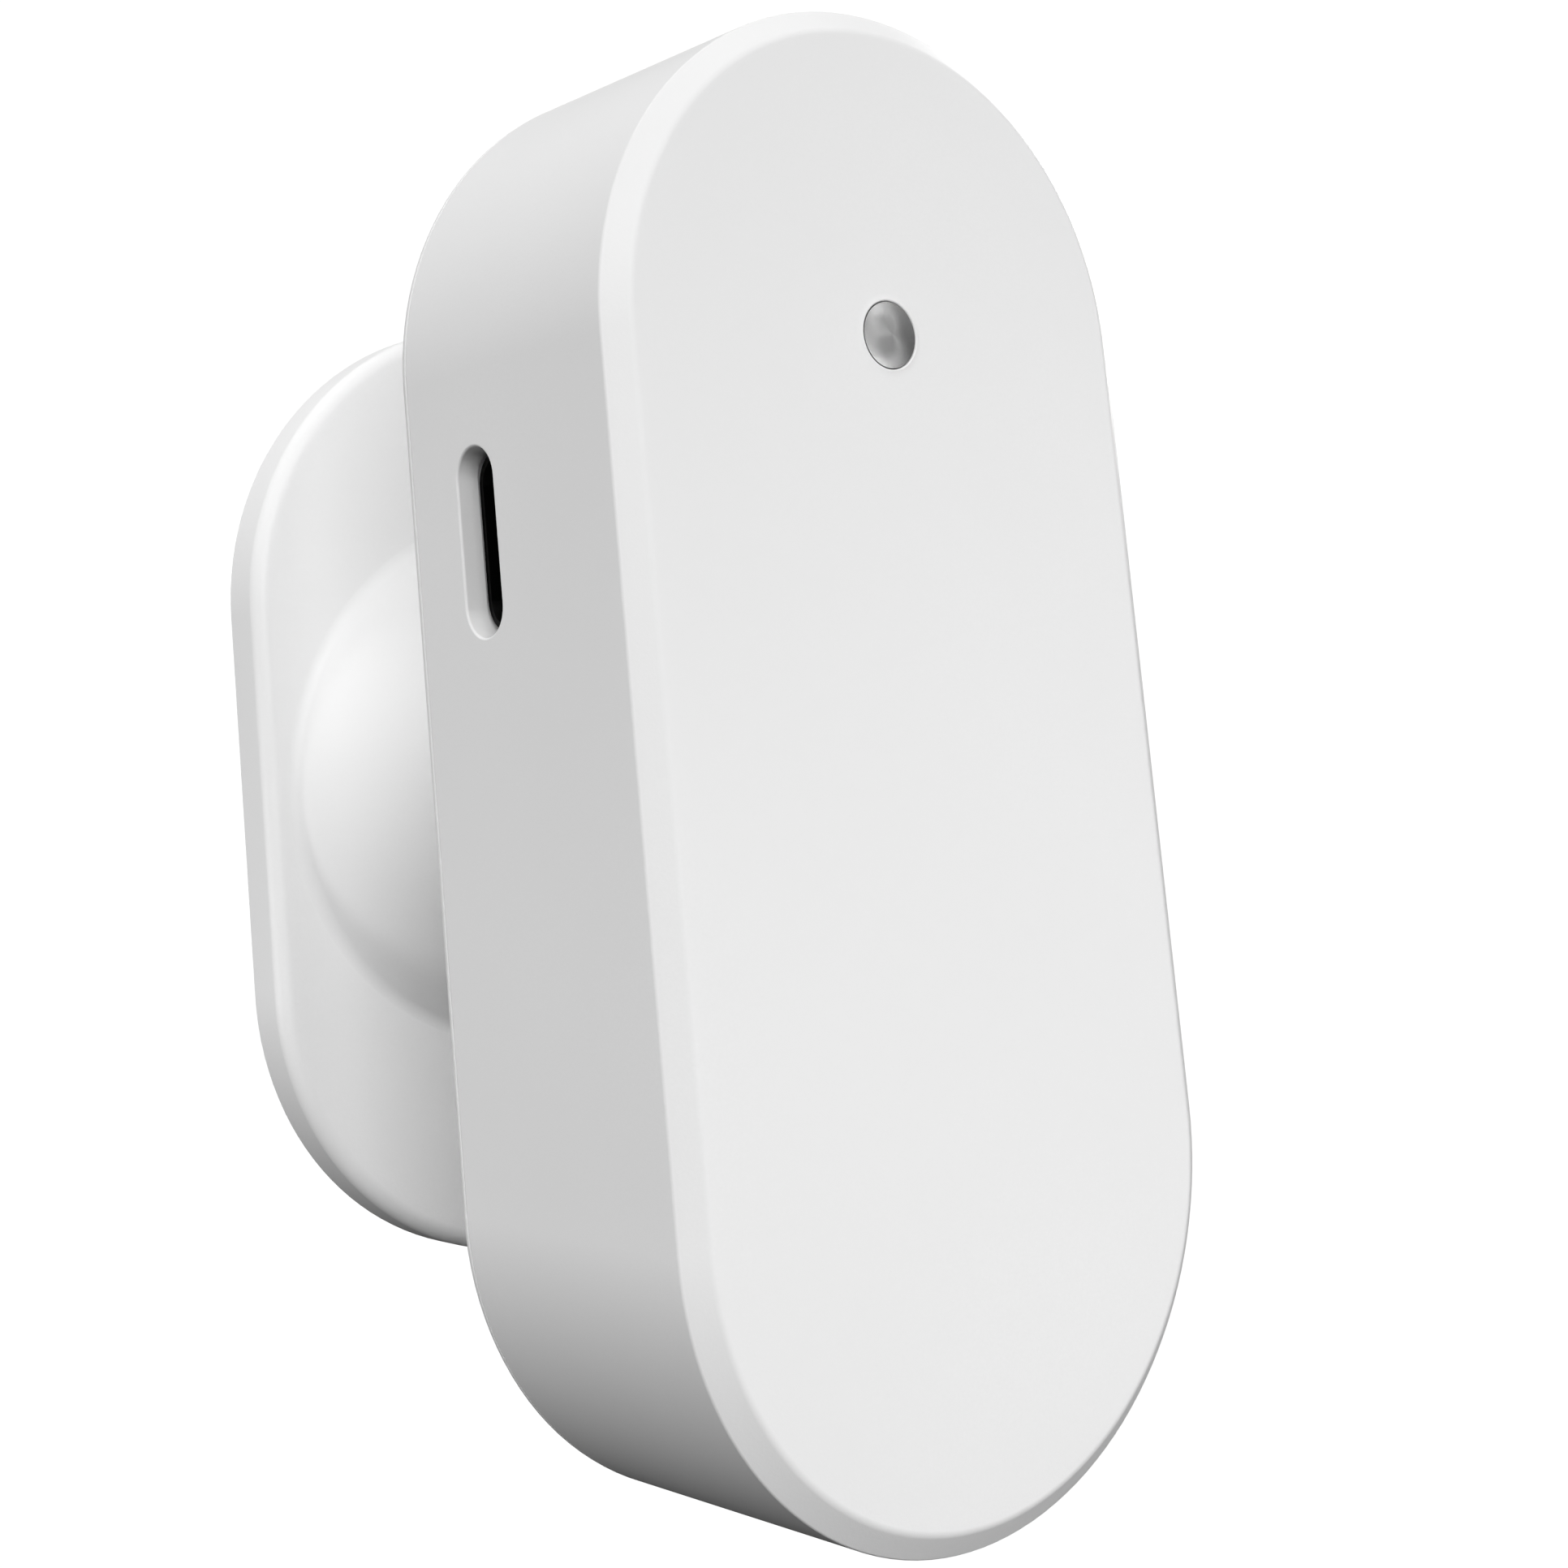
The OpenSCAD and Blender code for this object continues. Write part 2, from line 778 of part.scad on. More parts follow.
module battery_connector() {
    color("ivory") on_wall() difference() {
        block(
            wire_x + wire_pitch / 2, plug_y + plug_l / 2, plug_w, plug_l, board_front, board_front + plug_t
        );
        for (i = [0, 1]) {
            translate([wire_x + i * wire_pitch, plug_y - past, board_front + plug_t / 2])
                rotate([-90, 0, 0]) cylinder(r = wire_r, h = plug_in + past);
        }
    }
}

// Processor and charger on the front of the board, regulator on its back: [x, y, width, length, thickness]
module board_chips() {
    front_chips = [[-1, 12, 5, 5, 0.9], [-8, 12.5, 3, 3, 0.9], [-3, -12, 4, 3, 0.75]];
    rear_chips = [[9, 14, 3, 1.7, 1], [-4, -18, 5, 4, 1.1]];
    color("black") on_wall() {
        for (c = front_chips) {
            block(c[0], c[1], c[2], c[3], board_front, board_front + c[4]);
        }
        for (c = rear_chips) {
            block(c[0], c[1], c[2], c[3], board_rear - c[4], board_rear);
        }
    }
}

// Small resistors and capacitors in rows of equal pitch: [first x, y, how many, side of the board]
module board_passives() {
    part_w = 0.8;
    part_l = 1.6;
    part_t = 0.5;
    pitch = 1.7;
    rows = [[-10.4, 17.2, 4, 1], [-8, -16.5, 9, 1], [-7, -22, 8, 1], [3, 18, 4, -1], [2, -18, 5, -1]];
    color("tan") on_wall() for (row = rows) {
        for (i = [0 : row[2] - 1]) {
            low = row[3] > 0 ? board_front : board_rear - part_t;
            block(row[0] + i * pitch, row[1], part_w, part_l, low, low + part_t);
        }
    }
}

module tact_switch() {
    low = board_rear - switch_t;
    leg_w = 0.7;
    leg_t = 0.2;
    leg_y = 1.4;
    color("dimgray") on_wall() difference() {
        union() {
            block(0, button_y, switch_w, switch_w, low, board_rear);
            for (side = [-1, 1]) {
                for (end = [-1, 1]) {
                    block(
                        side * (switch_w / 2 + leg_w / 2 - eps), button_y + end * leg_y, leg_w, leg_w,
                        board_rear - leg_t, board_rear
                    );
                }
            }
        }
        post(0, button_y, plunger_r + slack, low - past, low + plunger_in + button_travel + 0.2);
    }
}

module switch_plunger() {
    low = board_rear - switch_t;
    color("black") on_wall() post(0, button_y, plunger_r, low - plunger_out, low + plunger_in);
}

// A flush cap, a stop flange behind the cover and a stem that reaches the switch's plunger
module pairing_button() {
    cap_low = head_back + 0.1;
    stem_r = 1.4;
    stem_top = board_rear - switch_t - plunger_out;
    color("lightgray") on_wall() {
        post(0, button_y, button_r, cap_low, cover_inner + slack + eps);
        post(0, button_y, flange_r, cover_inner + slack, cover_inner + slack + flange_t);
        post(0, button_y, stem_r, cover_inner + slack, stem_top);
    }
}

mount_foot();
adhesive_pad();
ball_stud();
stud_screw();
stud_washer();
socket_liner();
front_shell();
rear_cover();
cover_screws();
socket_cup();
socket_screws();
friction_ring();
indicator_lens();
status_led();
main_board();
board_screws();
usb_shell();
usb_tongue();
usb_contacts();
radio_module();
radio_shield();
antenna_trace();
reed_glass();
reed_blades();
battery_cell();
battery_pad();
battery_lead();
battery_connector();
board_chips();
board_passives();
tact_switch();
switch_plunger();
pairing_button();
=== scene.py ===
"""Looks for a door contact sensor: a pill-shaped head on a ball joint, carried by a pill-shaped wall foot.

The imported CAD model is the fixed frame. Casing, foot, lens and the other pieces that show are rebuilt here
with soft edges, each in the space of the CAD node it stands for; the rest keep their CAD meshes. Metres,
+Z up the wall, +Y into the wall. "Height" in this script is the distance off the wall, along -Y.
"""

import math

import bmesh
import bpy
from mathutils import Matrix, Vector


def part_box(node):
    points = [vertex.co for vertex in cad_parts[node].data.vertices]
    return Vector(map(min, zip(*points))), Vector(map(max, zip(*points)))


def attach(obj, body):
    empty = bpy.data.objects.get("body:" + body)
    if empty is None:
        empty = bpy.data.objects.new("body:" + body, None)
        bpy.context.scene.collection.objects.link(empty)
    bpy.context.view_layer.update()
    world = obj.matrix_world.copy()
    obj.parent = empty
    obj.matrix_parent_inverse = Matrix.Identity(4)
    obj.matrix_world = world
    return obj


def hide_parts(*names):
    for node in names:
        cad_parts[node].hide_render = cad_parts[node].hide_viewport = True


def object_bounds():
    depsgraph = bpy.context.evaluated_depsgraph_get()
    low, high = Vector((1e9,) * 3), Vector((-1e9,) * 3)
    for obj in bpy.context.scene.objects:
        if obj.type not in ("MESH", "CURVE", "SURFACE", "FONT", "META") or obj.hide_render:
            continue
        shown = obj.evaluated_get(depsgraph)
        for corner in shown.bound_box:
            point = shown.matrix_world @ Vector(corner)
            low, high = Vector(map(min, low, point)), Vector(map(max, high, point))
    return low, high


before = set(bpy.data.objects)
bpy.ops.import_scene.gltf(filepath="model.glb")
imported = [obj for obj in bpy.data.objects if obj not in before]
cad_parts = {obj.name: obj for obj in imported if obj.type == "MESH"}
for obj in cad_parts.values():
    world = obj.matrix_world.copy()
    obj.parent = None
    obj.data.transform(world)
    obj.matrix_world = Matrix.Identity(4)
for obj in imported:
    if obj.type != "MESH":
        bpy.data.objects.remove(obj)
cad_low, cad_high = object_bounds()

MM = 0.001
ARC_STEPS, FILLET_STEPS = 64, 6
BALL_STEPS, SEAT_STEPS, DOME_STEPS = 32, 24, 16
SHARP_ANGLE, BEVEL_ANGLE = math.radians(32), math.radians(40)
X, Y, Z = Vector((1, 0, 0)), Vector((0, 1, 0)), Vector((0, 0, 1))


# ---------- sizes: the boxes of the CAD nodes, and the details of the rebuilt pieces ----------

def size_of(node):
    """Half width, half height, lowest and highest height off the wall of a CAD node's box."""
    low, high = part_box(node)
    return (high.x - low.x) / 2, (high.z - low.z) / 2, -high.y, -low.y


head_r, head_half_h, shell_back, head_front = size_of("front_shell")
_, _, head_back, lip_top = size_of("rear_cover")
foot_r, foot_half_h, foot_back, cone_top = size_of("mount_foot")
_, _, _, pad_front = size_of("adhesive_pad")
_, _, spindle_end, ball_top = size_of("ball_stud")
_, _, lens_back, lens_tip = size_of("indicator_lens")
_, _, button_back, stem_top = size_of("pairing_button")
_, _, _, board_front = size_of("main_board")

head_span = head_half_h - head_r
foot_span = foot_half_h - foot_r
lens_z = sum(corner.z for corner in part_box("indicator_lens")) / 2
port_middle = (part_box("usb_shell")[0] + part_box("usb_shell")[1]) / 2
button_z = sum(corner.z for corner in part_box("pairing_button")) / 2

# Head: walls, the sloping edge round the face, and the roundings of its edges.
WALL = 2.0 * MM
BEVEL_W, BEVEL_D = 1.2 * MM, 0.93 * MM
BEVEL_ROUND, FACE_ROUND, SEAM_ROUND, INNER_ROUND = 0.2 * MM, 0.6 * MM, 0.06 * MM, 0.5 * MM
COVER, COVER_ROUND = 2.0 * MM, 0.5 * MM
RIM = 0.6 * MM
PLUG_GAP, PLUG_WALL = 0.1 * MM, 1.3 * MM

# Lens: its hole, the lip round it, the sleeve behind it, and the light pipe's flange and dome.
LENS_HOLE, LENS_RIM = 1.75 * MM, 0.1 * MM
LIP_W, LIP_H, LIP_TOE, LIP_ROUND = 0.42 * MM, 0.07 * MM, 0.1 * MM, 0.2 * MM
SLEEVE_WALL, SLEEVE_L = 1.0 * MM, 2.3 * MM
FLANGE_W, FLANGE_T = 0.8 * MM, 0.8 * MM
DOME_L, DOME_EDGE = 0.6 * MM, 0.03 * MM

# Charging slot, and the pocket that thins the wall behind it.
SLOT_L, SLOT_W, SLOT_WALL, SLOT_ROUND = 9.4 * MM, 3.2 * MM, 1.2 * MM, 0.14 * MM
POCKET_L, POCKET_W = 9.54 * MM, 3.86 * MM

# Bosses and ribs inside the shell; the board's bosses are placed from the centres of the head's round ends.
COVER_BOSS_X, COVER_BOSS_R, BOSS_GAP = 12.6 * MM, 2.45 * MM, 0.2 * MM
BOARD_BOSS_R, BOARD_BOSS_X = 2.0 * MM, 8.5 * MM
BOARD_BOSS_UP, BOARD_BOSS_DOWN = 7.9 * MM, 12.2 * MM
PILOT_R, COVER_PILOT_L, BOARD_PILOT_L = 0.85 * MM, 8.0 * MM, 5.0 * MM
RIB_X, RIB_Z = 10.5 * MM, -11.0 * MM
RIB_T, RIB_L, RIB_H = 0.8 * MM, 20.0 * MM, 3.8 * MM

# Holes and recesses of the rear cover.
COVER_HOLE, COVER_SINK_R, COVER_SINK_D, SINK_ROUND = 1.1 * MM, 1.9 * MM, 1.2 * MM, 0.15 * MM
BOSS_POCKET_D = 3.0 * MM
SEAT_R, MOUTH_GAP = 11.0 * MM, 0.12 * MM
CUP_SCREWS, CUP_SCREW_CIRCLE, CUP_PILOT_R, CUP_PILOT_FLOOR = 3, 8.8 * MM, 0.7 * MM, 0.6 * MM
LINER_T = 1.2 * MM
KEY_R = 2.9 * MM

# Foot: plate, cone and screw holes.
FOOT_T = 3.3 * MM
PLATE_ROUND, PLATE_BACK_ROUND = 0.9 * MM, 0.25 * MM
CONE_R, CONE_TOP_R, CONE_WALL, CONE_FILLET = 15.4 * MM, 4.4 * MM, 3.1 * MM, 1.2 * MM
CONE_SLOPE = math.radians(45)
ROOF_T = 3.9 * MM
PAD_INSET = 2.0 * MM
SCREW_Z, SCREW_HOLE, SINK_R = 22.0 * MM, 1.9 * MM, 3.4 * MM

# Ball stud.
BALL_R, NECK_R, NECK_END = 4.5 * MM, 2.4 * MM, 3.9 * MM
SPINDLE_R, COLLAR_R, COLLAR_T = 2.5 * MM, 3.9 * MM, 1.2 * MM
STUD_PILOT_R, STUD_PILOT_L = 1.25 * MM, 6.0 * MM

# Gaps and overlaps: running slack, how far a cutter runs past a face, how deep a joined form reaches into
# its wall, the small rounding of an inner edge, and the offset that keeps two faces out of one plane.
SLACK = 0.05 * MM
PAST = 1.0 * MM
ANCHOR = 0.5 * MM
BREAK = 0.1 * MM
SKIN = 2e-6

inner_r = head_r - WALL
front_inner = head_front - WALL
anchored = front_inner + ANCHOR
sleeve_end = front_inner - SLEEVE_L
cover_inner = head_back + COVER
foot_front = foot_back + FOOT_T
ball_height = ball_top - BALL_R
roof = cone_top - ROOF_T
cover_bosses = [(sx * COVER_BOSS_X, sz * head_span) for sx in (-1, 1) for sz in (-1, 1)]


# ---------- mesh helpers ----------

def outline(centre, across, along, radius, half_span=0.0, steps=ARC_STEPS):
    """Points round a circle, or round a pill whose end centres lie half_span either side of its centre."""
    points = []
    for side in (1, -1):
        for i in range(steps + (1 if half_span else 0)):
            angle = math.pi * i / steps + (0 if side > 0 else math.pi)
            offset = along * (side * half_span + radius * math.sin(angle))
            points.append(centre + across * (radius * math.cos(angle)) + offset)
    return points


def rounded(corners):
    """A path through (radius, height, rounding) corners, each an arc where its rounding isn't zero."""
    path = []
    for i, (radius, height, rounding) in enumerate(corners):
        here = Vector((radius, height))
        if not rounding:
            path.append(here)
            continue
        back = (Vector(corners[i - 1][:2]) - here).normalized()
        ahead = (Vector(corners[i + 1][:2]) - here).normalized()
        half = back.angle(ahead) / 2
        centre = here + (back + ahead).normalized() * (rounding / math.sin(half))
        first = here + back * (rounding / math.tan(half)) - centre
        last = here + ahead * (rounding / math.tan(half)) - centre
        turn = first.angle(last)
        for step in range(FILLET_STEPS + 1):
            share = step / FILLET_STEPS
            a, b = math.sin((1 - share) * turn), math.sin(share * turn)
            path.append(centre + (first * a + last * b) / math.sin(turn))
    return path


def add_object(name, bm):
    """Puts a bmesh into the scene as an object, with all its faces turned outwards."""
    bmesh.ops.recalc_face_normals(bm, faces=bm.faces)
    mesh = bpy.data.meshes.new(name)
    bm.to_mesh(mesh)
    bm.free()
    obj = bpy.data.objects.new(name, mesh)
    bpy.context.scene.collection.objects.link(obj)
    return obj


def loft(name, rings):
    """A closed solid through rings of points. A ring of one point is a tip; other end rings are capped."""
    bm = bmesh.new()
    loops = [[bm.verts.new(p) for p in ring] for ring in rings]
    for low, high in zip(loops, loops[1:]):
        count = max(len(low), len(high))
        for i in range(count):
            j = (i + 1) % count
            corners = [low[i % len(low)], low[j % len(low)], high[j % len(high)], high[i % len(high)]]
            bm.faces.new(list(dict.fromkeys(corners)))
    for end in (loops[0], loops[-1]):
        if len(end) > 2:
            bm.faces.new(end)
    return add_object(name, bm)


def swept(name, path, half_span=0.0, x=0.0, z=0.0, steps=ARC_STEPS):
    """A solid whose (radius, height) path runs round a pill or a circle that faces off the wall."""
    rings = []
    for radius, height in path:
        centre = Vector((x, -height, z))
        rings.append([centre] if radius < 1e-7 else outline(centre, X, Z, radius, half_span, steps))
    return loft(name, rings)


def post(x, z, radius, low, high, steps=24):
    """A round post between two heights off the wall."""
    return swept("cutter", [(radius, low), (radius, high)], x=x, z=z, steps=steps)


def block(centre_x, centre_z, width, length, low, high):
    """A rectangular rib between two heights off the wall."""
    bm = bmesh.new()
    bmesh.ops.create_cube(bm, size=1)
    bmesh.ops.scale(bm, vec=(width, high - low, length), verts=bm.verts)
    bmesh.ops.translate(bm, vec=(centre_x, -(low + high) / 2, centre_z), verts=bm.verts)
    return add_object("block", bm)


def combine(obj, other, operation):
    """Joins another solid to obj or cuts it away, and drops the other one."""
    modifier = obj.modifiers.new("combine", "BOOLEAN")
    modifier.operation = operation
    modifier.solver = "EXACT"
    modifier.object = other
    bpy.context.view_layer.update()
    evaluated = obj.evaluated_get(bpy.context.evaluated_depsgraph_get())
    mesh = bpy.data.meshes.new_from_object(evaluated)
    obj.modifiers.clear()
    obj.data = mesh
    bpy.data.objects.remove(other)


def cut(obj, *others):
    """Cuts each of the others away from obj."""
    for other in others:
        combine(obj, other, "DIFFERENCE")


def join(obj, other):
    """Joins the other solid to obj."""
    combine(obj, other, "UNION")


def shade(obj):
    """Smooth shading that keeps flat faces flat, and edges past SHARP_ANGLE sharp."""
    mesh = obj.data
    mesh.polygons.foreach_set("use_smooth", [True] * len(mesh.polygons))
    mesh.set_sharp_from_angle(angle=SHARP_ANGLE)
    weighted = obj.modifiers.new("flat_faces_stay_flat", "WEIGHTED_NORMAL")
    weighted.keep_sharp = True
    weighted.weight = 100


def quarter_flare(flare):
    """(wider, depth) steps of a hole's rounded mouth, from its narrow end out to the surface."""
    for step in range(FILLET_STEPS + 1):
        angle = math.pi / 2 * step / FILLET_STEPS
        yield flare * (1 - math.cos(angle)), flare * (1 - math.sin(angle))


def flared_hole(x, z, radius, low, surface, flare):
    """Cutter for a round hole that opens at a surface with a rounded mouth."""
    mouth = [(radius + wider, surface - depth + SKIN) for wider, depth in quarter_flare(flare)]
    path = [(radius, low)] + mouth + [(radius + flare, surface + PAST)]
    return swept("cutter", path, x=x, z=z, steps=40)


def finish_piece(obj, name, node, body, material):
    """Names and paints a rebuilt piece, puts it in a CAD node's place and lets it ride on a body."""
    obj.name = obj.data.name = name
    obj.data.materials.clear()
    obj.data.materials.append(material)
    shade(obj)
    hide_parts(node)
    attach(obj, body)
    return obj


# ---------- materials ----------

class Nodes:
    """A material's node tree, with short calls for the nodes used below."""

    def __init__(self, name):
        self.material = bpy.data.materials.new(name)
        self.material.use_nodes = True
        self.tree = self.material.node_tree
        self.shader = self.tree.nodes["Principled BSDF"]
        self.place = self.add("ShaderNodeTexCoord").outputs["Object"]

    def add(self, kind, **inputs):
        node = self.tree.nodes.new(kind)
        for key, value in inputs.items():
            self.feed(node.inputs[key.replace("_", " ")], value)
        return node

    def feed(self, socket, value):
        if isinstance(value, bpy.types.NodeSocket):
            self.tree.links.new(value, socket)
        else:
            socket.default_value = value

    def noise(self, size, detail=2.0, roughness=0.5, vector=None):
        node = self.add("ShaderNodeTexNoise", Scale=1 / size, Detail=detail, Roughness=roughness)
        self.feed(node.inputs["Vector"], vector or self.place)
        return node.outputs["Fac"]

    def spread(self, value, low, high, from_low=0.3, from_high=0.7):
        node = self.add("ShaderNodeMapRange", Value=value)
        ends = {"From Min": from_low, "From Max": from_high, "To Min": low, "To Max": high}
        for key, number in ends.items():
            node.inputs[key].default_value = number
        return node.outputs["Result"]

    def mix(self, share, first, second):
        node = self.tree.nodes.new("ShaderNodeMix")
        node.data_type = "RGBA"
        self.feed(node.inputs["Factor"], share)
        self.feed(node.inputs[6], first)
        self.feed(node.inputs[7], second)
        return node.outputs[2]

    def math(self, operation, a, b=0.0):
        node = self.tree.nodes.new("ShaderNodeMath")
        node.operation = operation
        self.feed(node.inputs[0], a)
        self.feed(node.inputs[1], b)
        return node.outputs[0]

    def bump(self, height, distance, strength=1.0):
        node = self.add("ShaderNodeBump", Height=height, Distance=distance, Strength=strength)
        return node.outputs["Normal"]

    def set(self, **inputs):
        for key, value in inputs.items():
            self.feed(self.shader.inputs[key.replace("_", " ")], value)


def rgb(red, green, blue):
    return (red, green, blue, 1)


def grey(value):
    return rgb(value, value, value)


def shift(colour, factor):
    """The colour made lighter or darker by a factor."""
    return tuple(min(1, c * factor) for c in colour[:3]) + (1,)


def moulded(name, colour, roughness=0.45, grain=0.16 * MM, depth=0.004 * MM):
    """Injection-moulded plastic: a fine even spark texture, slow tone drift and slight gloss variation."""
    n = Nodes(name)
    drift = n.noise(18 * MM, detail=3)
    fine = n.noise(grain, detail=2, roughness=0.6)
    coarse = n.noise(grain * 4, detail=1)
    tone = n.mix(n.spread(drift, 0, 1), shift(colour, 0.985), shift(colour, 1.01))
    speckle = n.mix(n.spread(fine, 0, 1), tone, shift(colour, 0.99))
    height = n.math("ADD", fine, n.math("MULTIPLY", coarse, 0.5))
    n.set(Base_Color=speckle, Roughness=n.spread(drift, roughness - 0.03, roughness + 0.04))
    n.set(Normal=n.bump(height, depth), IOR=1.46)
    return n.material


STREAKS = {"x": (0.05, 1, 1), "z": (1, 1, 0.05), "none": (1, 1, 1)}


def metal(name, colour, roughness=0.3, streak="none"):
    """Rolled or plated metal, with fine streaks along one axis where streak names it."""
    n = Nodes(name)
    stretch = n.add("ShaderNodeMapping", Vector=n.place, Scale=STREAKS[streak])
    lines = n.noise(0.12 * MM, detail=4, vector=stretch.outputs["Vector"])
    stain = n.noise(3 * MM, detail=2)
    n.set(Base_Color=n.mix(n.spread(stain, 0, 1), shift(colour, 0.9), shift(colour, 1.05)), Metallic=1.0)
    n.set(Roughness=n.spread(lines, roughness - 0.07, roughness + 0.1), Normal=n.bump(lines, 0.002 * MM))
    return n.material


def smoky_lens(name):
    """Polished smoky light pipe whose face was turned, so that its reflections fan out from the middle."""
    n = Nodes(name)
    cloud = n.noise(1.2 * MM, detail=2)
    turned = n.tree.nodes.new("ShaderNodeTangent")
    turned.direction_type = "RADIAL"
    turned.axis = "Y"
    n.set(Base_Color=n.mix(n.spread(cloud, 0, 1), grey(0.44), grey(0.50)), Roughness=0.27, Metallic=0.8)
    n.set(Anisotropic=0.75, Tangent=turned.outputs["Tangent"])
    n.set(Coat_Weight=0.3, Coat_Roughness=0.06, IOR=1.5)
    return n.material


def rubber(name, colour, roughness=0.6):
    """Moulded rubber with a little dust on it."""
    n = Nodes(name)
    dust = n.noise(0.8 * MM, detail=5, roughness=0.7)
    n.set(Base_Color=n.mix(n.spread(dust, 0, 1), colour, shift(colour, 1.6)))
    n.set(Roughness=n.spread(dust, roughness - 0.08, roughness + 0.12))
    n.set(Normal=n.bump(dust, 0.01 * MM), Sheen_Weight=0.15)
    return n.material


def foam(name, colour, film, node):
    """Closed-cell foam for a pad that lies flat to the wall, with a smooth film on its two faces."""
    n = Nodes(name)
    low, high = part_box(node)
    film_from = (high.y - low.y) / 2 - 0.08 * MM
    cells = n.add("ShaderNodeTexVoronoi", Vector=n.place, Scale=1 / (0.18 * MM))
    height = n.add("ShaderNodeSeparateXYZ", Vector=n.place).outputs["Y"]
    off_middle = n.math("ABSOLUTE", n.math("SUBTRACT", height, (low.y + high.y) / 2))
    is_film = n.math("GREATER_THAN", off_middle, film_from)
    pores = n.mix(n.spread(cells.outputs["Distance"], 0, 1, 0, 0.6), shift(colour, 0.75), colour)
    n.set(Base_Color=n.mix(is_film, pores, film), Roughness=0.7)
    n.set(Normal=n.bump(cells.outputs["Distance"], 0.03 * MM, strength=0.5))
    return n.material


def laminate(name, mask, copper):
    """Circuit board: solder mask over faint tracks, mottled by the glass weave under it."""
    n = Nodes(name)
    grid = n.add("ShaderNodeTexVoronoi", Vector=n.place, Scale=1 / (1.1 * MM))
    grid.distance = "MANHATTAN"
    tracks = n.math("LESS_THAN", n.math("PINGPONG", grid.outputs["Distance"], 0.16), 0.05)
    weave = n.noise(0.3 * MM, detail=3)
    covered = n.mix(n.math("MULTIPLY", tracks, 0.55), mask, copper)
    n.set(Base_Color=n.mix(n.spread(weave, 0, 0.25), covered, shift(mask, 0.6)))
    n.set(Roughness=n.spread(weave, 0.25, 0.4), Coat_Weight=0.3)
    n.set(Normal=n.bump(tracks, 0.02 * MM, strength=0.4))
    return n.material


def clear_glass(name):
    """Drawn glass tube with a faint ripple."""
    n = Nodes(name)
    ripple = n.noise(2.5 * MM, detail=1)
    n.set(Base_Color=n.mix(n.spread(ripple, 0, 1), rgb(0.86, 0.95, 0.9), rgb(0.92, 0.98, 0.95)))
    n.set(Roughness=n.spread(ripple, 0.01, 0.05), Transmission_Weight=1.0, IOR=1.5)
    return n.material


def pouch_foil(name):
    """Aluminium laminate of a battery pouch, with shallow dents from pressing."""
    n = Nodes(name)
    dents = n.noise(5 * MM, detail=4, roughness=0.6)
    fine = n.noise(0.25 * MM, detail=2)
    n.set(Base_Color=n.mix(n.spread(dents, 0, 1), grey(0.55), rgb(0.66, 0.69, 0.72)), Metallic=0.85)
    n.set(Roughness=n.spread(fine, 0.28, 0.42), Normal=n.bump(dents, 0.25 * MM, strength=0.6))
    return n.material


def wire_cover(name):
    """Silicone cover of the battery's two wires: red on the left, black on the right."""
    n = Nodes(name)
    across = n.add("ShaderNodeSeparateXYZ", Vector=n.place).outputs["X"]
    middle = sum(corner.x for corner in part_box("battery_lead")) / 2
    gloss = n.noise(0.6 * MM, detail=3)
    n.set(Base_Color=n.mix(n.math("GREATER_THAN", across, middle), rgb(0.5, 0.02, 0.02), grey(0.02)))
    n.set(Roughness=n.spread(gloss, 0.35, 0.5), Normal=n.bump(gloss, 0.01 * MM))
    return n.material


def ceramic(name):
    """Chip resistors and capacitors: brown or black fired bodies with a light tinned speckle."""
    n = Nodes(name)
    tint = n.noise(3 * MM, detail=0)
    grain = n.noise(0.2 * MM, detail=3)
    body = n.mix(n.spread(tint, 0, 1, 0.42, 0.58), rgb(0.35, 0.25, 0.16), grey(0.04))
    n.set(Base_Color=n.mix(n.spread(grain, 0, 0.3), body, grey(0.5)), Roughness=0.35)
    n.set(Normal=n.bump(grain, 0.01 * MM))
    return n.material


# ---------- pieces that show ----------

def front_shell(material):
    """Front face, sloping edge and side wall in one moulding, with its bosses, sleeve and ribs inside."""
    shell = swept("front_shell", rounded([
        (inner_r - PAST, front_inner, 0), (inner_r, front_inner, INNER_ROUND),
        (inner_r, shell_back, BREAK), (head_r, shell_back, SEAM_ROUND),
        (head_r, head_front - BEVEL_D, BEVEL_ROUND), (head_r - BEVEL_W, head_front, FACE_ROUND),
        (head_r - BEVEL_W - PAST, head_front, 0),
    ]), head_span)
    board_bosses = [(side * BOARD_BOSS_X, head_span + BOARD_BOSS_UP) for side in (-1, 1)]
    board_bosses.append((0, -head_span - BOARD_BOSS_DOWN))
    for x, z in cover_bosses:
        join(shell, post(x, z, COVER_BOSS_R, cover_inner, anchored))
    for x, z in board_bosses:
        join(shell, post(x, z, BOARD_BOSS_R, board_front, anchored))
    join(shell, post(0, lens_z, LENS_HOLE + SLEEVE_WALL, sleeve_end, anchored, steps=40))
    for side in (-1, 1):
        join(shell, block(side * RIB_X, RIB_Z, RIB_T, RIB_L, front_inner - RIB_H, anchored))
    for x, z in cover_bosses:
        cut(shell, post(x, z, PILOT_R, cover_inner - PAST, cover_inner + COVER_PILOT_L))
    for x, z in board_bosses:
        cut(shell, post(x, z, PILOT_R, board_front - PAST, board_front + BOARD_PILOT_L))
    join(shell, lens_lip())
    cut(shell, flared_hole(0, lens_z, LENS_HOLE, sleeve_end - PAST, head_front + LIP_H, LENS_RIM))
    cut(shell, slot_cutter(), pocket_cutter())
    return finish_piece(shell, "casing_front", "front_shell", "sensor_head", material)


